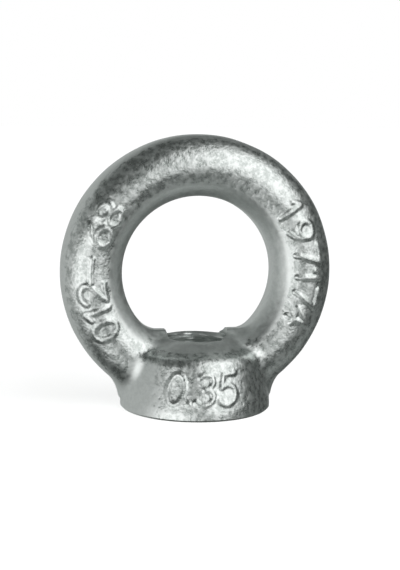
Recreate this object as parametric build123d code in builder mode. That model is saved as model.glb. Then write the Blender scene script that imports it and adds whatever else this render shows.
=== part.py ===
"""Lifting eye nut, M24: a drop-forged ring standing on a threaded collar.

One solid.  Millimetres, +Z up.  The origin is on the axis of the thread, in the
seating face under the collar, and the ring stands in the XZ plane.

The round bar of the ring grows out of a tapered collar with a domed crown.  The
eye isn't a full circle: what is left of the web of the forging makes a straight
floor above the crown, with a land where the trimming punch cut it.
"""

from build123d import *
import math
import os

os.makedirs("parts", exist_ok=True)

# ring
RING_DIAMETER = 90.0  # outside
EYE_DIAMETER = 49.6  # opening, as the trimming punch leaves it
TRIM_DEPTH = 0.2  # what the punch takes off the round bar
RING_CENTER_HEIGHT = 45.0  # above the seating face

# collar
COLLAR_DIAMETER = 50.0
RIM_HEIGHT = 3.0  # straight rim below the taper
RIM_ROUND = 12.0
SHOULDER_DIAMETER = 42.5  # top of the taper
SHOULDER_HEIGHT = 18.7
SHOULDER_ROUND = 1.5
CROWN_HEIGHT = 24.5  # top of the dome, on the axis
FACING_ALLOWANCE = 3.0  # forged below the seating face, then turned off
BASE_CHAMFER = 0.8

# web that closes the eye below
FLOOR_HEIGHT = 26.0
FLOOR_CORNER_RADIUS = 7.0
LAND_WIDTH = 3.0  # flat left by the punch
WEB_THICKNESS = 16.5
WEB_DRAFT = 35.0  # degrees, from the land out to the crown

# roots, where the ring runs into the collar, and the thread
ROOT_RADIUS = 5.0
THREAD_DIAMETER = 24.0
THREAD_PITCH = 3.0
LEAD_IN = 0.4  # countersink past the thread's crests, on the radius

bar_diameter = (RING_DIAMETER - EYE_DIAMETER) / 2 + TRIM_DEPTH
bar_center_radius = (RING_DIAMETER - bar_diameter) / 2
ring_center = Vector(0, 0, RING_CENTER_HEIGHT)
collar_radius = COLLAR_DIAMETER / 2
shoulder_radius = SHOULDER_DIAMETER / 2
crown_rise = CROWN_HEIGHT - SHOULDER_HEIGHT
crown_radius = (shoulder_radius**2 + crown_rise**2) / (2 * crown_rise)
forging_bottom = min(0, RING_CENTER_HEIGHT - RING_DIAMETER / 2) - FACING_ALLOWANCE
web_draft_depth = (WEB_THICKNESS - LAND_WIDTH) / 2

# the bore is the thread's minor diameter: 5/8 of the sharp profile's height, each side
sharp_height = THREAD_PITCH * math.cos(math.radians(30))
bore_radius = THREAD_DIAMETER / 2 - 5 / 8 * sharp_height
countersink_radius = THREAD_DIAMETER / 2 + LEAD_IN

# outline of the opening: the circle of the eye, cut straight by the floor
with BuildSketch(Plane.XZ) as eye_outline:
    with Locations((0, RING_CENTER_HEIGHT)):
        Circle(EYE_DIAMETER / 2)
    with Locations((0, FLOOR_HEIGHT)):
        Rectangle(RING_DIAMETER, RING_DIAMETER, align=(Align.CENTER, Align.MIN), mode=Mode.INTERSECT)
    fillet(eye_outline.vertices(), FLOOR_CORNER_RADIUS)

# web: a plate in the plane of the ring, drafted towards the opening, which only shows above the crown
with BuildPart() as web:
    with BuildSketch(Plane.XZ):
        with Locations((0, RING_CENTER_HEIGHT)):
            Circle(bar_center_radius)
    extrude(amount=WEB_THICKNESS / 2, both=True)
    with BuildSketch(Plane.XZ.offset(LAND_WIDTH / 2)):
        add(eye_outline.sketch_local)
    extrude(amount=web_draft_depth, taper=-WEB_DRAFT, mode=Mode.SUBTRACT)
    mirror(about=Plane.XZ, mode=Mode.INTERSECT)

with BuildPart() as eye_nut:
    # collar as forged: straight rim, taper, and a domed crown
    with BuildSketch(Plane.XZ) as collar_profile:
        with BuildLine():
            side = Polyline(
                (0, forging_bottom),
                (collar_radius, forging_bottom),
                (collar_radius, RIM_HEIGHT),
                (shoulder_radius, SHOULDER_HEIGHT),
            )
            crown = RadiusArc(side @ 1, (0, CROWN_HEIGHT), -crown_radius)
            Line(crown @ 1, side @ 0)
        make_face()
        shoulder = collar_profile.vertices().sort_by_distance((shoulder_radius, SHOULDER_HEIGHT))[0]
        fillet(shoulder, SHOULDER_ROUND)
        rim = collar_profile.vertices().sort_by_distance((collar_radius, RIM_HEIGHT))[0]
        fillet(rim, RIM_ROUND)
    revolve(axis=Axis.Z)

    # ring: a whole hoop of round bar sunk into the collar, with a hollow root where it comes out
    with BuildSketch(Plane(origin=ring_center, x_dir=(0, 0, 1), z_dir=(-1, 0, 0))):
        with Locations((-bar_center_radius, 0)):
            Circle(bar_diameter / 2)
    revolve(axis=Axis(ring_center, (0, -1, 0)))
    fillet(eye_nut.edges(Select.NEW), ROOT_RADIUS)

    # web, and the opening punched through it
    add(web.part)
    with BuildSketch(Plane.XZ):
        add(eye_outline.sketch_local)
    extrude(amount=bar_diameter, both=True, mode=Mode.SUBTRACT)

    # seating face, turned flat and chamfered
    split(bisect_by=Plane.XY, keep=Keep.TOP)
    seat = eye_nut.faces().sort_by(Axis.Z)[0]
    chamfer(seat.outer_wire().edges(), BASE_CHAMFER)

    # threaded bore with its countersink, from the seating face up into the eye
    with Locations(Plane(origin=(0, 0, 0), z_dir=(0, 0, -1))):
        CounterSinkHole(bore_radius, countersink_radius, RING_CENTER_HEIGHT, 90)

eye_nut.part.label = "eye_nut"
export_step(eye_nut.part, "parts/eye_nut.step")
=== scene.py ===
import math

import bpy
import numpy as np
from mathutils import Matrix, Vector


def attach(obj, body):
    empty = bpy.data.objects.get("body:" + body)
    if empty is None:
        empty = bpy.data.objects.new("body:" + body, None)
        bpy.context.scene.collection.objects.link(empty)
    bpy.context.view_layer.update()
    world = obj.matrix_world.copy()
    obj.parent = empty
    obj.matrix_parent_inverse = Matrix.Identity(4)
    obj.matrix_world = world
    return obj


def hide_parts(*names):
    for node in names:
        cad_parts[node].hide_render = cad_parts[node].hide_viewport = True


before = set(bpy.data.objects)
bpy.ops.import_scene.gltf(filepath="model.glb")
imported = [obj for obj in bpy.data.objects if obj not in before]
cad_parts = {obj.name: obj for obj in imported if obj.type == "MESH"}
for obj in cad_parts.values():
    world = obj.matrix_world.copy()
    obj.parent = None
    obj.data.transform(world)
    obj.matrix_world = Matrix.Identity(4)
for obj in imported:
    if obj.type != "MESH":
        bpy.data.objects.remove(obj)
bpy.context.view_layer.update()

# ---------------------------------------------------------------------------
# Camera.  It looks at the middle of the ring from a little above and a little
# to the left, with a long lens, and is held almost level.

CAMERA_DISTANCE = 0.4341
CAMERA_ELEVATION = math.radians(7.91)
CAMERA_AZIMUTH = math.radians(-9.90)  # counted to the right from straight in front
CAMERA_ROLL = math.radians(-0.805)
CAMERA_LENS = 83.24
CAMERA_SHIFT = 0.0064, -0.0249
RING_MIDDLE = Vector((0, 0, 0.045))

camera_data = bpy.data.cameras.new("camera")
camera_data.sensor_fit = "VERTICAL"
camera_data.sensor_height = 36
camera_data.lens = CAMERA_LENS
camera_data.shift_x, camera_data.shift_y = CAMERA_SHIFT
camera_data.clip_start = 0.01
camera = bpy.data.objects.new("camera", camera_data)
bpy.context.scene.collection.objects.link(camera)
backward = Vector((
    math.sin(CAMERA_AZIMUTH) * math.cos(CAMERA_ELEVATION),
    -math.cos(CAMERA_AZIMUTH) * math.cos(CAMERA_ELEVATION),
    math.sin(CAMERA_ELEVATION),
))
level_right = Vector((math.cos(CAMERA_AZIMUTH), math.sin(CAMERA_AZIMUTH), 0))
level_up = backward.cross(level_right)
right = level_right * math.cos(CAMERA_ROLL) - level_up * math.sin(CAMERA_ROLL)
up = level_right * math.sin(CAMERA_ROLL) + level_up * math.cos(CAMERA_ROLL)
camera_axes = Matrix((right, up, backward)).transposed().to_4x4()
camera.matrix_world = Matrix.Translation(RING_MIDDLE + backward * CAMERA_DISTANCE) @ camera_axes
bpy.context.scene.camera = camera

# ---------------------------------------------------------------------------
# The forging.  Ring, collar and web are one piece of steel from one pair of
# dies.  Its skin is where the distance field below is nought, in millimetres
# with the seat of the collar at height nought.

RING_HEIGHT = 45.0  # middle of the ring
BAR_PATH = 34.8  # radius of the line along the middle of the bar
BAR_RADIUS = 10.2
EYE_RADIUS = 24.8
OUTER_LAND = 44.92  # radius of the land where the flash was trimmed off outside
COLLAR_RADIUS = 24.97
RIM_HEIGHT = 3.0
RIM_BLEND = 0.8  # how softly the straight rim turns into the taper
RIM_TURN = 1.0  # height below and above the top of the rim over which its normal turns
TAPER = math.atan(3.75 / 15.7)
SHOULDER = 1.6  # how softly the taper turns into the crown
CROWN_HEIGHT = 24.5
CROWN_RADIUS = 41.8
FORGED_BOTTOM = -3.0  # the seat is turned off this at height nought
FLOOR_HEIGHT = 26.0
FLOOR_CORNER = 7.0
LAND = 1.5  # half the width of the flat that the punch leaves on the web
WEB_HALF = 8.25
WEB_DRAFT = math.radians(35)
WEB_CORNER = 1.0
WEB_ROOT = 1.6
TRIMMED_CORNER = 0.3
PUNCHED_CORNER = 0.35
ROOT = 4.2  # where the ring runs into the collar, at the front and the back
TRIMMED_ROOT = 11.5  # wider in the parting plane, where the flash was trimmed off
TRIMMED_ROOT_WIDTH = 0.5, 7  # distances from the parting plane over which it narrows
TRIMMED_ROOT_START = 37, 41  # radii over which it begins, outside the bar's middle
LEAN_LIMIT = 0.95  # keeps the root sound where ring and collar run alike


def ease(value, low, high):
    """Smooth step from 0 at low to 1 at high."""
    share = np.clip((value - low) / (high - low), 0, 1)
    return share * share * (3 - 2 * share)


def between(value, rise, fall):
    """Smooth step up over the rise and down again over the fall; each is a pair of values."""
    return ease(value, *rise) * (1 - ease(value, *fall))


def hollow_join(a, b, lean, radius):
    """Union of two distance fields with a hollow root, as a ball rolled along both would leave.  Where the
    point is between the ball's two touching points, the field is the ball's radius less the distance from
    the ball's centre, which lies a radius off both surfaces.  The lean is the cosine of the angle between
    the normals of the two."""
    lean = np.clip(lean, -LEAN_LIMIT, LEAN_LIMIT)
    da, db = a - radius, b - radius
    from_centre = np.sqrt(np.maximum(da * da + db * db - 2 * da * db * lean, 0) / (1 - lean * lean))
    within = (da < lean * db) & (db < lean * da)
    return np.where(within, radius - from_centre, np.minimum(a, b))


def soft_cut(a, b, softness):
    """Intersection of two distance fields; the edge between them is rounded over the softness."""
    near = np.maximum(softness - np.abs(a - b), 0) / softness
    return np.maximum(a, b) + near * near * softness / 4


def opening(x, z):
    """Distance outside the punched opening: a circle, cut straight at the floor, with rounded corners."""
    from_axis = np.hypot(x, z - RING_HEIGHT)
    corner_z = FLOOR_HEIGHT + FLOOR_CORNER
    drop = RING_HEIGHT - corner_z
    corner_x = math.sqrt((EYE_RADIUS - FLOOR_CORNER) ** 2 - drop**2)
    dx = np.abs(x) - corner_x
    dz = z - corner_z
    plain = np.maximum(from_axis - EYE_RADIUS, FLOOR_HEIGHT - z)
    in_corner = (dx > 0) & (dz * corner_x + dx * drop < 0)
    return np.where(in_corner, np.hypot(dx, dz) - FLOOR_CORNER, plain)


def ring_field(x, y, z):
    """Distance from the torus of the ring, trimmed along its outside, and the torus's unit normal."""
    above_middle = z - RING_HEIGHT
    from_axis = np.hypot(x, above_middle)
    off_path = from_axis - BAR_PATH
    off_bar = np.hypot(off_path, y)
    radial = off_path / (off_bar * from_axis)
    normal = np.stack((x * radial, y / off_bar, above_middle * radial))
    return soft_cut(off_bar - BAR_RADIUS, from_axis - OUTER_LAND, TRIMMED_CORNER), normal


def collar_field(x, y, z):
    """Distance from the collar, a straight rim, a taper and a domed crown, and its unit normal."""
    spread = np.hypot(x, y)
    above_rim = np.logaddexp(0, (z - RIM_HEIGHT) / RIM_BLEND) * RIM_BLEND
    flank = (spread - COLLAR_RADIUS + above_rim * math.tan(TAPER)) * math.cos(TAPER)
    above_crown_middle = z - CROWN_HEIGHT + CROWN_RADIUS
    off_crown_middle = np.hypot(spread, above_crown_middle)
    crown = off_crown_middle - CROWN_RADIUS
    distance = soft_cut(soft_cut(flank, crown, SHOULDER), FORGED_BOTTOM - z, TRIMMED_CORNER)

    on_crown = ease(crown - flank, -SHOULDER / 2, SHOULDER / 2)
    on_taper = ease(z, RIM_HEIGHT - RIM_TURN, RIM_HEIGHT + RIM_TURN) * (1 - on_crown)
    outward = math.cos(TAPER) * (1 - on_crown) / spread + on_crown / off_crown_middle
    upward = math.sin(TAPER) * on_taper + on_crown * above_crown_middle / off_crown_middle
    normal = np.stack((x * outward, y * outward, upward))
    return distance, normal / np.linalg.norm(normal, axis=0)


def forging(x, y, z):
    """Distance from the skin: ring and collar joined by a hollow root, the drafted web between them, and
    the opening punched through."""
    ring, ring_normal = ring_field(x, y, z)
    collar, collar_normal = collar_field(x, y, z)
    from_axis = np.hypot(x, z - RING_HEIGHT)
    trimmed = (1 - ease(np.abs(y), *TRIMMED_ROOT_WIDTH)) * ease(from_axis, *TRIMMED_ROOT_START)
    root = ROOT + (TRIMMED_ROOT - ROOT) * trimmed
    body = hollow_join(ring, collar, (ring_normal * collar_normal).sum(axis=0), root)

    outside = opening(x, z)
    draft = np.maximum(np.abs(y) - LAND, 0) * math.tan(WEB_DRAFT) - outside
    web = soft_cut(draft * math.cos(WEB_DRAFT), np.abs(y) - WEB_HALF, WEB_CORNER)
    web = np.maximum(web, from_axis - BAR_PATH)
    return soft_cut(hollow_join(body, web, 0.0, WEB_ROOT), -outside, PUNCHED_CORNER)


# ---------------------------------------------------------------------------
# Numerals.  They were sunk in the dies, so they stand up from the skin: on the
# front of the ring, where they read clockwise, and on the front of the collar.

NUMERAL_RELIEF = 0.4
NUMERAL_WIDTH = 0.6  # for a figure 1 high
NUMERAL_FRONT = -1.0  # figures stand only in front of this
STROKE_TOP = 0.2  # half the width of a stroke on top
STROKE_FOOT = 1.25  # and at its foot
ARC_POINTS = 14
NUMERAL_SPACE = (-0.3, 0.9), (-0.3, 1.3)  # how far a figure may reach, along the line and up
RING_NUMERAL_HEIGHT = 8.0
RING_NUMERAL_PATH = 35.6  # radius of the line through the middle of the figures
# Figures, angle of the first from the right, step to the next, both in degrees, and how much wider they are
RING_NUMERALS = (
    ("012", 209.5, 10.0, 1.2),
    ("-", 177.5, 0.0, 1.0),
    ("68", 158.5, 12.0, 1.3),
    ("19", 35.5, 12.5, 1.1),
    ("7174", 9.5, 11.0, 1.1),
)
COLLAR_NUMERAL_HEIGHT = 9.4
COLLAR_NUMERAL_FOOT = 5.4
COLLAR_NUMERAL_RADIUS = COLLAR_RADIUS - 1.5
COLLAR_NUMERAL_SLANT = 0.12
# Figure and its angle from straight in front in degrees
COLLAR_NUMERALS = (("0", -24.5), (".", -13.0), ("3", -1.0), ("5", 17.5))


def arc(x, y, rx, ry, start, end):
    """Points along part of an ellipse, from the start angle to the end angle in degrees."""
    angle = np.radians(np.linspace(start, end, ARC_POINTS))
    return np.stack((x + rx * np.cos(angle), y + ry * np.sin(angle)), axis=-1)


def numeral(figure):
    """Strokes of one figure as lists of points, in a box 0.6 wide and 1 high."""
    strokes = {
        "0": [arc(0.3, 0.5, 0.3, 0.5, 0, 360)],
        "1": [[(0.1, 0.78), (0.34, 1), (0.34, 0)]],
        "2": [np.vstack((arc(0.3, 0.71, 0.29, 0.29, 165, -38), [(0, 0), (0.6, 0)]))],
        "3": [arc(0.27, 0.76, 0.27, 0.24, 140, -90), arc(0.27, 0.26, 0.32, 0.26, 90, -145)],
        "4": [[(0.46, 0), (0.46, 1), (0, 0.3), (0.62, 0.3)]],
        "5": [np.vstack(([(0.56, 1), (0.1, 1), (0.06, 0.56)], arc(0.27, 0.32, 0.32, 0.32, 120, -145)))],
        "6": [arc(0.3, 0.3, 0.3, 0.3, 0, 360), [(0.01, 0.36), (0.07, 0.62), (0.2, 0.84), (0.44, 1)]],
        "7": [[(0, 1), (0.6, 1), (0.2, 0)]],
        "8": [arc(0.3, 0.76, 0.24, 0.24, 0, 360), arc(0.3, 0.26, 0.3, 0.26, 0, 360)],
        "9": [arc(0.3, 0.7, 0.3, 0.3, 0, 360), [(0.59, 0.64), (0.53, 0.38), (0.4, 0.16), (0.16, 0)]],
        "-": [[(-0.2, 0.5), (0.8, 0.5)]],
        ".": [[(0.3, 0.03), (0.3, 0.05)]],
    }
    return strokes[figure]


def stroke_distance(along, upward, figure):
    """Distance in the plane from each point to the nearest stroke: the least, over all the straight bits,
    of the distance to the nearest point of the bit."""
    best = np.full(along.shape, np.inf)
    for stroke in numeral(figure):
        corners = np.asarray(stroke, float)
        for (ax, ay), (bx, by) in zip(corners[:-1], corners[1:]):
            ex, ey = bx - ax, by - ay
            share = ((along - ax) * ex + (upward - ay) * ey) / (ex * ex + ey * ey)
            share = np.clip(share, 0, 1)
            best = np.minimum(best, np.hypot(along - ax - share * ex, upward - ay - share * ey))
    return best


def numerals_relief(point):
    """Height of the numerals over the skin: flat on top, with drafted sides, from the distance to the
    nearest stroke.  Each figure is laid out along the ring or the collar in a plane where it is 1 high."""
    x, y, z = np.moveaxis(point, -1, 0)
    laid_out = []
    from_axis = np.hypot(x, z - RING_HEIGHT)
    angle = np.arctan2(z - RING_HEIGHT, x)
    upward = (from_axis - RING_NUMERAL_PATH) / RING_NUMERAL_HEIGHT + 0.5
    for text, first, step, wider in RING_NUMERALS:
        for place, figure in enumerate(text):
            clockwise = math.radians(first - place * step) - angle
            clockwise = np.mod(clockwise + math.pi, 2 * math.pi) - math.pi
            along = clockwise * RING_NUMERAL_PATH / (RING_NUMERAL_HEIGHT * wider) + NUMERAL_WIDTH / 2
            laid_out.append((figure, along, upward, RING_NUMERAL_HEIGHT))
    upward = (z - COLLAR_NUMERAL_FOOT) / COLLAR_NUMERAL_HEIGHT
    for figure, place in COLLAR_NUMERALS:
        across = (np.arctan2(x, -y) - math.radians(place)) * COLLAR_NUMERAL_RADIUS
        along = across / COLLAR_NUMERAL_HEIGHT + NUMERAL_WIDTH / 2 - COLLAR_NUMERAL_SLANT * (upward - 0.5)
        laid_out.append((figure, along, upward, COLLAR_NUMERAL_HEIGHT))

    distance = np.full(x.shape, np.inf)
    (start, end), (foot, head) = NUMERAL_SPACE
    for figure, along, upward, height in laid_out:
        near = (y < NUMERAL_FRONT) & (along > start) & (along < end) & (upward > foot) & (upward < head)
        found = stroke_distance(along[near], upward[near], figure) * height
        distance[near] = np.minimum(distance[near], found)
    return NUMERAL_RELIEF * (1 - ease(distance, STROKE_TOP, STROKE_FOOT))


# ---------------------------------------------------------------------------
# The skin.  A forged surface is not quite even.  Round the eye the trimming
# punch has ironed a smooth band, which lies a little deeper.

UNEVENNESS = 0.07
WAVE_COUNT = 28
WAVE_LENGTHS = 6, 20
WAVE_SUM = 104.0  # what the waves come to at a peak, each as high as it is long
IRONED_DEPTH = 0.1
IRONED_EDGE = 29.2, 30.7  # radii over which the ironed band ends
IRONED_FOOT = 21, 26  # heights over which it begins, below the floor of the eye
IRONED_WANDER = 0.35  # how far its edge wanders

dice = np.random.default_rng(24)
wave_directions = dice.normal(size=(WAVE_COUNT, 3))
wave_directions /= np.linalg.norm(wave_directions, axis=1, keepdims=True)
wave_lengths = dice.uniform(*WAVE_LENGTHS, WAVE_COUNT)
wave_phases = dice.uniform(0, 2 * math.pi, WAVE_COUNT)


def waviness(point):
    """A sum of plane waves in all directions, mostly between -1 and 1."""
    turns = point @ (wave_directions.T / wave_lengths)
    waves = np.sin(turns * 2 * math.pi + wave_phases) * wave_lengths
    return waves.sum(axis=-1) / WAVE_SUM


def ironed_share(point):
    """1 in the ironed band and 0 outside it; its edge wanders a little with the waves."""
    from_axis = np.hypot(point[..., 0], point[..., 2] - RING_HEIGHT) + waviness(point) * IRONED_WANDER
    return (1 - ease(from_axis, *IRONED_EDGE)) * ease(point[..., 2], *IRONED_FOOT)


def skin_relief(point):
    """Height over the field's skin, never above nought: the waves, and the step down to the ironed band."""
    ironed = ironed_share(point)
    forged = (waviness(point) - 1) * UNEVENNESS * (1 - ironed)
    return np.minimum(forged, 0) - ironed * IRONED_DEPTH


# ---------------------------------------------------------------------------
# The forging's mesh.  It is a closed grid with no seam: columns go round the
# ring and rows go round its bar, and both stand closer over the numerals.

MM = 0.001
REACH_LIMITS = 1.0, 45.0  # from the line along the middle of the bar, inside the skin and outside it
HALVINGS = 34
COLUMNS = 500
COLUMN_TRIALS = 2001
COLUMN_CLOSENESS = 0.42, 0.55  # everywhere, and what is added in the arcs that hold numerals
NUMERAL_ARCS = (-134, -52), (-38, 38), (56, 134)  # degrees from straight down
ARC_FADE = 4
ROWS = 124
ROW_TRIALS = 361
ROW_CLOSENESS = 1.4, 1.6  # everywhere, and what is added in the zones that hold numerals
RING_ZONE_WIDTH = 5, 6  # distances from the line of the numerals over which the ring's zone ends
RING_ZONE_FRONT = 4, 6  # distances in front of the parting plane over which it begins
COLLAR_ZONE_HEIGHTS = (0, 2), (17, 18)
COLLAR_ZONE_FRONT = 8, 10
COLLAR_ZONE_TURN = 0.7  # round the ring from straight down
HIDDEN_CLOSENESS = 0.15, 0.85  # below the seat, where the facing takes all off, and what is added above
HIDDEN_HEIGHTS = -1, 0


def skin_point(around, section, reach):
    """Point at a reach from the line along the middle of the bar, at the angle round the ring from straight
    down, in the direction that is the section angle away from outward."""
    from_axis = BAR_PATH + reach * np.cos(section)
    return from_axis * np.sin(around), reach * np.sin(section), RING_HEIGHT - from_axis * np.cos(around)


def skin(around, section):
    """Points on the skin: halving the reach finds where the field changes sign along each ray."""
    near, far = (np.full(np.broadcast(around, section).shape, limit) for limit in REACH_LIMITS)
    for _ in range(HALVINGS):
        half_way = (near + far) / 2
        inside = forging(*skin_point(around, section, half_way)) < 0
        near = np.where(inside, half_way, near)
        far = np.where(inside, far, half_way)
    return np.stack(skin_point(around, section, near), axis=-1)


def skin_normal(point):
    """Unit normal of the skin: differences of the field over a hundredth of a millimetre each way."""
    x, y, z = np.moveaxis(point, -1, 0)
    step = 0.01
    slope = np.stack((
        forging(x + step, y, z) - forging(x - step, y, z),
        forging(x, y + step, z) - forging(x, y - step, z),
        forging(x, y, z + step) - forging(x, y, z - step),
    ), axis=-1)
    return slope / np.linalg.norm(slope, axis=-1, keepdims=True)


def column_closeness(around):
    """How close the columns stand at an angle round the ring from straight down."""
    degrees = np.degrees(around)
    in_arc = []
    for start, end in NUMERAL_ARCS:
        in_arc.append(between(degrees, (start, start + ARC_FADE), (end - ARC_FADE, end)))
    plain, added = COLUMN_CLOSENESS
    return plain + added * np.maximum.reduce(in_arc)


def row_closeness(point, around):
    """How close the rows stand at points of the skin."""
    x, y, z = np.moveaxis(point, -1, 0)
    off_numerals = np.abs(np.hypot(x, z - RING_HEIGHT) - RING_NUMERAL_PATH)
    on_ring = (1 - ease(off_numerals, *RING_ZONE_WIDTH)) * ease(-y, *RING_ZONE_FRONT)
    on_collar = between(z, *COLLAR_ZONE_HEIGHTS) * ease(-y, *COLLAR_ZONE_FRONT)
    on_collar *= np.abs(around) < COLLAR_ZONE_TURN
    plain, added = ROW_CLOSENESS
    hidden, seen = HIDDEN_CLOSENESS
    closeness = plain + added * np.maximum(on_ring, on_collar)
    return closeness * (hidden + seen * ease(z, *HIDDEN_HEIGHTS))


# Columns and then rows are placed so that equal shares of the closeness lie between neighbours.
trial = np.linspace(-math.pi, math.pi, COLUMN_TRIALS)
closeness = column_closeness(trial)
column_share = np.concatenate(([0], np.cumsum((closeness[1:] + closeness[:-1]) / 2)))
around = np.interp(np.arange(COLUMNS) / COLUMNS * column_share[-1], column_share, trial)[:, None]

trial = np.linspace(-math.pi, math.pi, ROW_TRIALS)
outline = skin(around, trial[None, :])
step_length = np.linalg.norm(np.diff(outline, axis=1), axis=-1)
closeness = row_closeness((outline[:, 1:] + outline[:, :-1]) / 2, around)
row_share = np.cumsum(step_length * closeness, axis=1)
row_share = np.concatenate((np.zeros((COLUMNS, 1)), row_share), axis=1)
row_share /= row_share[:, -1:]
section = np.array([np.interp(np.arange(ROWS) / ROWS, share, trial) for share in row_share])

points = skin(around, section)
relief = numerals_relief(points) + skin_relief(points)
points = points + skin_normal(points) * relief[..., None]

column = np.arange(COLUMNS)[:, None]
row = np.arange(ROWS)[None, :]
next_column = (column + 1) % COLUMNS
next_row = (row + 1) % ROWS
quads = np.stack((
    column * ROWS + row,
    column * ROWS + next_row,
    next_column * ROWS + next_row,
    next_column * ROWS + row,
), axis=-1)


def mesh_object(name, vertices, faces):
    """A mesh object at the origin, from vertices in millimetres and faces given by vertex numbers."""
    mesh = bpy.data.meshes.new(name)
    mesh.from_pydata((vertices.reshape(-1, 3) * MM).tolist(), [], faces)
    mesh.update()
    made = bpy.data.objects.new(name, mesh)
    bpy.context.scene.collection.objects.link(made)
    return made


eye_nut = mesh_object("lifting_eye_nut", points, quads.reshape(-1, 4).tolist())

# ---------------------------------------------------------------------------
# Machining.  The seat is faced flat and its corner broken, then the bore is
# countersunk, drilled through into the eye, and tapped with a right-hand
# thread.  Each cut is a solid of its own, taken from the forging.

CORNER_BREAK = 0.7
FACING_BOTTOM = -6.0
FACING_RADIUS = 34.0
FACING_STEPS = 240
THREAD_PITCH = 3.0
THREAD_MAJOR = 12.0
THREAD_MINOR = 10.376
MAJOR_FLAT = 1 / 8  # of the pitch
MINOR_FLAT = 1 / 4
LEAD_IN = 0.4
RUN_OUT = 22.6, 24.6  # heights over which the thread fades into the plain bore above
TAP_BOTTOM = -1.5
TAP_TOP = 40.0
TURN_STEPS = 96
PITCH_STEPS = 12
SHARP_ANGLE = math.radians(38)


def cutting_solid(name, radius, height):
    """A closed solid from a stack of level rings round the axis of the thread.  The radii have one row to a
    ring and one column to an angle, and each ring has one height."""
    levels, count = radius.shape
    angle = np.arange(count) / count * 2 * math.pi
    stack = np.broadcast_arrays(radius * np.cos(angle), radius * np.sin(angle), height[:, None])
    level = np.arange(levels - 1)[:, None] * count
    here = np.arange(count)
    after = (here + 1) % count
    wall = np.stack((level + here, level + after, level + count + after, level + count + here), axis=-1)
    bottom = here[::-1].tolist()
    top = ((levels - 1) * count + here).tolist()
    return mesh_object(name, np.stack(stack, axis=-1), wall.reshape(-1, 4).tolist() + [bottom, top])


seat_radius = COLLAR_RADIUS - CORNER_BREAK
facing_height = np.array((FACING_BOTTOM, FACING_RADIUS - seat_radius, 0.0))
facing_radius = np.repeat([[FACING_RADIUS], [FACING_RADIUS], [seat_radius]], FACING_STEPS, axis=1)
facing = cutting_solid("facing_cut", facing_radius, facing_height)

tap_height = np.arange(TAP_BOTTOM, TAP_TOP, THREAD_PITCH / PITCH_STEPS)
tap_level = tap_height[:, None]
turned_share = np.arange(TURN_STEPS) / TURN_STEPS
off_groove = np.abs(np.mod(tap_level / THREAD_PITCH - turned_share, 1) - 0.5)
ridge = np.clip((off_groove - MAJOR_FLAT / 2) / ((1 - MINOR_FLAT - MAJOR_FLAT) / 2), 0, 1)
ridge += (1 - ridge) * ease(tap_level, *RUN_OUT)
tap_radius = THREAD_MAJOR - (THREAD_MAJOR - THREAD_MINOR) * ridge
tap_radius = np.maximum(tap_radius, THREAD_MAJOR + LEAD_IN - tap_level)
tap = cutting_solid("tap_cut", tap_radius, tap_height)

for cutter in (facing, tap):
    cut = eye_nut.modifiers.new(cutter.name, "BOOLEAN")
    cut.operation = "DIFFERENCE"
    cut.solver = "MANIFOLD"
    cut.object = cutter
finished = bpy.data.meshes.new_from_object(eye_nut.evaluated_get(bpy.context.evaluated_depsgraph_get()))
eye_nut.modifiers.clear()
eye_nut.data = finished
for cutter in (facing, tap):
    bpy.data.objects.remove(cutter)
finished.polygons.foreach_set("use_smooth", np.ones(len(finished.polygons), bool))
finished.set_sharp_from_angle(angle=SHARP_ANGLE)

# ---------------------------------------------------------------------------
# Finish.  Bright zinc, some 10 micrometres of it, over a grit-blasted forged
# skin: grainy where the dies left it, smooth in the ironed band, on the crown,
# on the left side of the collar and along the ground-off flash, and without
# any grain where the seat and the thread were cut.  The smooth zones take a
# paler zinc; on the collar's left side that paler zinc is a painted highlight
# where the low light on the left falls.

CROWN_RADII = 16, 18.5  # each pair is the limits over which a zone begins or ends
CROWN_HEIGHTS = (17, 20), (27, 30)
# The collar's left side, smoothed and painted paler as a painted highlight where the low light on the left
# falls
PAINTED_HIGHLIGHT_SIDE = (28, 50), (105, 130)  # degrees to the left from straight in front
PAINTED_HIGHLIGHT_SIDE_TOP = 15, 20
PAINTED_HIGHLIGHT_SIDE_RADII = 25, 26
FLASH_WIDTH = 4.3, 5.5
FLASH_RADII = 38, 40
BORE_RADII = 12.1, 12.5
BORE_TOP = 25
SEAT_HEIGHTS = 0.02, 0.1

GRAIN_SCALE = 1200  # about so many grains to a metre
GRAIN_HEIGHT = 0.8
MOTTLE_SCALE = 560
MOTTLE_HEIGHT = 1.6
NOISE_DETAIL = 2
NOISE_ROUGHNESS = 0.55
NOISE_LEVEL = 0.5  # middle of either noise
BUMP_DISTANCE = 0.00009
SMOOTH_BUMP = 0.4  # share of the bump that is left where the skin is smooth
RAGGED = 1.6  # how far the mottle eats into the edges of the smooth zones and of the painted highlight
RAGGED_LIMITS = 0.2, 0.7
DARK_ZINC = 0.44, 0.47, 0.455, 1
PALE_ZINC = 0.73, 0.76, 0.745, 1
ZINC_LIMITS = 1.0, 1.4  # heights of grain and mottle together that are dark and pale
# Paler zinc of the smooth zones; on the collar's left side it is a painted highlight
SMOOTH_AND_HIGHLIGHT_ZINC = 0.74, 0.77, 0.755, 1
SMOOTH_AND_HIGHLIGHT_COVER = 0.75
MOTTLE_LIMITS = 0.3, 0.7
ROUGHNESS = 0.26, 0.36
SMOOTH_AND_HIGHLIGHT_ROUGHNESS = 0.1


def feed(tree, socket, source):
    """Links a socket, or sets its value, or leaves it alone where the source is None."""
    if isinstance(source, bpy.types.NodeSocket):
        tree.links.new(source, socket)
    elif source is not None:
        socket.default_value = source


def wired(tree, kind, settings, *sources):
    """A node with its properties set and its first inputs fed; gives its output."""
    made = tree.nodes.new(kind)
    for name, setting in settings.items():
        setattr(made, name, setting)
    for socket, source in zip(made.inputs, sources):
        feed(tree, socket, source)
    return made.outputs[0]


def arithmetic(tree, operation, *sources):
    """The result of one Math node."""
    return wired(tree, "ShaderNodeMath", {"operation": operation}, *sources)


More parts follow.
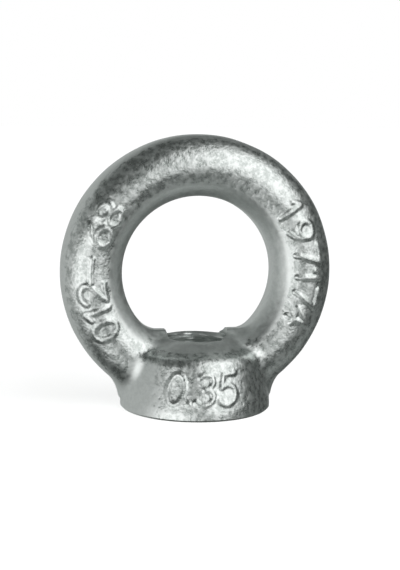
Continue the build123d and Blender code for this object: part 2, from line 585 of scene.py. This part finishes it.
def ramp(tree, source, low, high, low_result=0.0, high_result=1.0):
    """Smooth step of a socket's value from one result at low to the other at high."""
    settings = {"interpolation_type": "SMOOTHSTEP"}
    return wired(tree, "ShaderNodeMapRange", settings, source, low, high, low_result, high_result)


def mixed_colour(tree, factor, a, b):
    """The colour between two others."""
    made = tree.nodes.new("ShaderNodeMix")
    made.data_type = "RGBA"
    for name, source in (("Factor", factor), ("A", a), ("B", b)):
        feed(tree, made.inputs[name], source)
    return made.outputs["Result"]


def noise(tree, scale):
    """Noise in the piece's own space."""
    place = tree.nodes.new("ShaderNodeTexCoord").outputs["Object"]
    return wired(tree, "ShaderNodeTexNoise", {}, place, None, scale, NOISE_DETAIL, NOISE_ROUGHNESS)


def painted_share(mesh, tree, name, share):
    """Stores a share at the mesh's points and gives the socket that reads it in the material."""
    mesh.attributes.new(name, "FLOAT", "POINT").data.foreach_set("value", share)
    reader = tree.nodes.new("ShaderNodeAttribute")
    reader.attribute_name = name
    return reader.outputs["Fac"]


corner = np.empty(len(finished.vertices) * 3)
finished.vertices.foreach_get("co", corner)
corner = corner.reshape(-1, 3) / MM
x, y, z = corner.T
spread = np.hypot(x, y)
from_axis = np.hypot(x, z - RING_HEIGHT)
leftward = -np.degrees(np.arctan2(x, -y))
crown = (1 - ease(spread, *CROWN_RADII)) * between(z, *CROWN_HEIGHTS)
# The collar's left side is smoothed and painted paler: a painted highlight where the low light on the left
# falls
painted_highlight_side = between(leftward, *PAINTED_HIGHLIGHT_SIDE) * (1 - ease(z, *PAINTED_HIGHLIGHT_SIDE_TOP))
painted_highlight_side *= 1 - ease(spread, *PAINTED_HIGHLIGHT_SIDE_RADII)
flash = (1 - ease(np.abs(y), *FLASH_WIDTH)) * ease(from_axis, *FLASH_RADII)
smooth_and_highlight = np.maximum.reduce((ironed_share(corner), crown, painted_highlight_side, flash))
bore = (1 - ease(spread, *BORE_RADII)) * (z < BORE_TOP)
seat = 1 - ease(z, *SEAT_HEIGHTS)

plating = bpy.data.materials.new("zinc_plated_steel")
plating.use_nodes = True
tree = plating.node_tree
shader = tree.nodes["Principled BSDF"]
# Share of the smooth zones, and of the painted highlight on the collar's left side
smooth_and_highlight_share = painted_share(finished, tree, "smooth_and_highlight_share", smooth_and_highlight)
machined = painted_share(finished, tree, "cut", np.maximum(bore, seat))
mottle = noise(tree, MOTTLE_SCALE)
ragged = arithmetic(tree, "MULTIPLY", arithmetic(tree, "SUBTRACT", mottle, NOISE_LEVEL), RAGGED)
smooth_and_highlight_share = ramp(tree, arithmetic(tree, "ADD", smooth_and_highlight_share, ragged), *RAGGED_LIMITS)
grainy = arithmetic(tree, "SUBTRACT", 1.0, arithmetic(tree, "MAXIMUM", smooth_and_highlight_share, machined))

grain_part = arithmetic(tree, "MULTIPLY", noise(tree, GRAIN_SCALE), GRAIN_HEIGHT)
mottle_part = arithmetic(tree, "MULTIPLY", mottle, MOTTLE_HEIGHT)
lumps = arithmetic(tree, "ADD", grain_part, mottle_part)
level_lumps = arithmetic(tree, "SUBTRACT", lumps, (GRAIN_HEIGHT + MOTTLE_HEIGHT) * NOISE_LEVEL)
bump = tree.nodes.new("ShaderNodeBump")
bump.inputs["Distance"].default_value = BUMP_DISTANCE
bump_share = ramp(tree, grainy, 0, 1, SMOOTH_BUMP, 1)
feed(tree, bump.inputs["Height"], arithmetic(tree, "MULTIPLY", level_lumps, bump_share))

paleness = wired(tree, "ShaderNodeMapRange", {}, lumps, *ZINC_LIMITS, 0.0, 1.0)
zinc = mixed_colour(tree, paleness, DARK_ZINC, PALE_ZINC)
# Paler zinc over the smooth zones; on the collar's left side this is a painted highlight
zinc = mixed_colour(tree, arithmetic(tree, "MULTIPLY", smooth_and_highlight_share, SMOOTH_AND_HIGHLIGHT_COVER), zinc, SMOOTH_AND_HIGHLIGHT_ZINC)
roughness = ramp(tree, mottle, *MOTTLE_LIMITS, *ROUGHNESS)
roughness = arithmetic(tree, "ADD", roughness, arithmetic(tree, "MULTIPLY", smooth_and_highlight_share, SMOOTH_AND_HIGHLIGHT_ROUGHNESS))
feed(tree, shader.inputs["Normal"], bump.outputs["Normal"])
feed(tree, shader.inputs["Base Color"], zinc)
feed(tree, shader.inputs["Roughness"], roughness)
shader.inputs["Metallic"].default_value = 1.0
finished.materials.clear()
finished.materials.append(plating)

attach(eye_nut, "root")
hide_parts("eye_nut")

# ---------------------------------------------------------------------------
# The studio.  A white floor runs into a white backdrop.  The metal mirrors
# neither, but a room of dim card, a little green, with four soft ovals of
# light in it.

DIM_CARD = 0.12
CAMERA_WHITE = 1.0
ROOM_TINT = 0.94, 1, 0.97, 1
TINT_LIMITS = 0.1, 0.9  # strengths over which the tint goes over to white
WHITE = 1, 1, 1, 1
# Azimuth, elevation, lean, half width, half height and softness in degrees, and strength
SOFT_OVALS = (
    (37, 29, 30, 31, 44, 28, 1.5),  # large box high on the right
    (-42, -11, 0, 33, 25, 30, 1.5),  # low box on the left
    (-145, 0, 0, 68, 48, 26, 0.42),  # grey wall on the left and behind
    (40, -56, 0, 60, 16, 20, 0.2),  # faint light low in front on the right
)
FLOOR_REACH = 3.0
FLOOR_PAINT = 0.8, 0.8, 0.8, 1
FLOOR_LIFT = 0.72  # what the floor shines with for the camera, so that it is white where no shadow falls


def soft_oval(tree, direction, azimuth, elevation, lean, half_width, half_height, softness, strength):
    """Light from an oval on the sky: full inside the oval shrunk by half the softness, and none outside the
    oval grown by as much.  The azimuth is counted to the right from straight in front, and the lean is how
    far the top of the oval leans to the right."""
    az, el, turned = math.radians(azimuth), math.radians(elevation), math.radians(lean)
    toward = Vector((math.sin(az) * math.cos(el), -math.cos(az) * math.cos(el), math.sin(el)))
    level = Vector((math.cos(az), math.sin(az), 0))
    upright = toward.cross(level)
    across = level * math.cos(turned) - upright * math.sin(turned)
    along = level * math.sin(turned) + upright * math.cos(turned)
    reach = []
    for axis in (toward, across, along):
        made = tree.nodes.new("ShaderNodeVectorMath")
        made.operation = "DOT_PRODUCT"
        feed(tree, made.inputs[0], direction)
        feed(tree, made.inputs[1], axis)
        reach.append(made.outputs["Value"])
    forward, sideways, lengthways = reach
    squares = []
    for angle, half in (
        (arithmetic(tree, "ARCTAN2", sideways, forward), half_width),
        (arithmetic(tree, "ARCSINE", lengthways), half_height),
    ):
        part = arithmetic(tree, "DIVIDE", angle, math.radians(half))
        squares.append(arithmetic(tree, "MULTIPLY", part, part))
    off_middle = arithmetic(tree, "SQRT", arithmetic(tree, "ADD", *squares))
    edge = softness / (half_width + half_height)
    return ramp(tree, off_middle, 1 - edge, 1 + edge, strength, 0)


world = bpy.data.worlds.new("studio")
bpy.context.scene.world = world
world.use_nodes = True
tree = world.node_tree
tree.nodes.clear()
direction = tree.nodes.new("ShaderNodeTexCoord").outputs["Generated"]
room = DIM_CARD
for oval in SOFT_OVALS:
    room = arithmetic(tree, "ADD", soft_oval(tree, direction, *oval), room)
for_camera = tree.nodes.new("ShaderNodeLightPath").outputs["Is Camera Ray"]
strength = wired(tree, "ShaderNodeMix", {"data_type": "FLOAT"}, for_camera, None, room, CAMERA_WHITE)
tint = mixed_colour(tree, ramp(tree, strength, *TINT_LIMITS), ROOM_TINT, WHITE)
background = wired(tree, "ShaderNodeBackground", {}, tint, strength)
output = tree.nodes.new("ShaderNodeOutputWorld")
feed(tree, output.inputs["Surface"], background)

floor_mesh = bpy.data.meshes.new("floor")
floor_sides = (-1, -1), (1, -1), (1, 1), (-1, 1)
floor_corners = [(side * FLOOR_REACH, end * FLOOR_REACH, 0) for side, end in floor_sides]
floor_mesh.from_pydata(floor_corners, [], [(0, 1, 2, 3)])
floor = bpy.data.objects.new("floor", floor_mesh)
bpy.context.scene.collection.objects.link(floor)
floor_material = bpy.data.materials.new("floor")
floor_material.use_nodes = True
tree = floor_material.node_tree
tree.nodes.clear()
for_camera = tree.nodes.new("ShaderNodeLightPath").outputs["Is Camera Ray"]
lift = arithmetic(tree, "MULTIPLY", for_camera, FLOOR_LIFT)
paint = wired(tree, "ShaderNodeBsdfDiffuse", {}, FLOOR_PAINT)
glow = wired(tree, "ShaderNodeEmission", {}, WHITE, lift)
surface = wired(tree, "ShaderNodeAddShader", {}, paint, glow)
output = tree.nodes.new("ShaderNodeOutputMaterial")
feed(tree, output.inputs["Surface"], surface)
floor_mesh.materials.append(floor_material)
floor.visible_glossy = False

bpy.context.scene.view_settings.view_transform = "Standard"
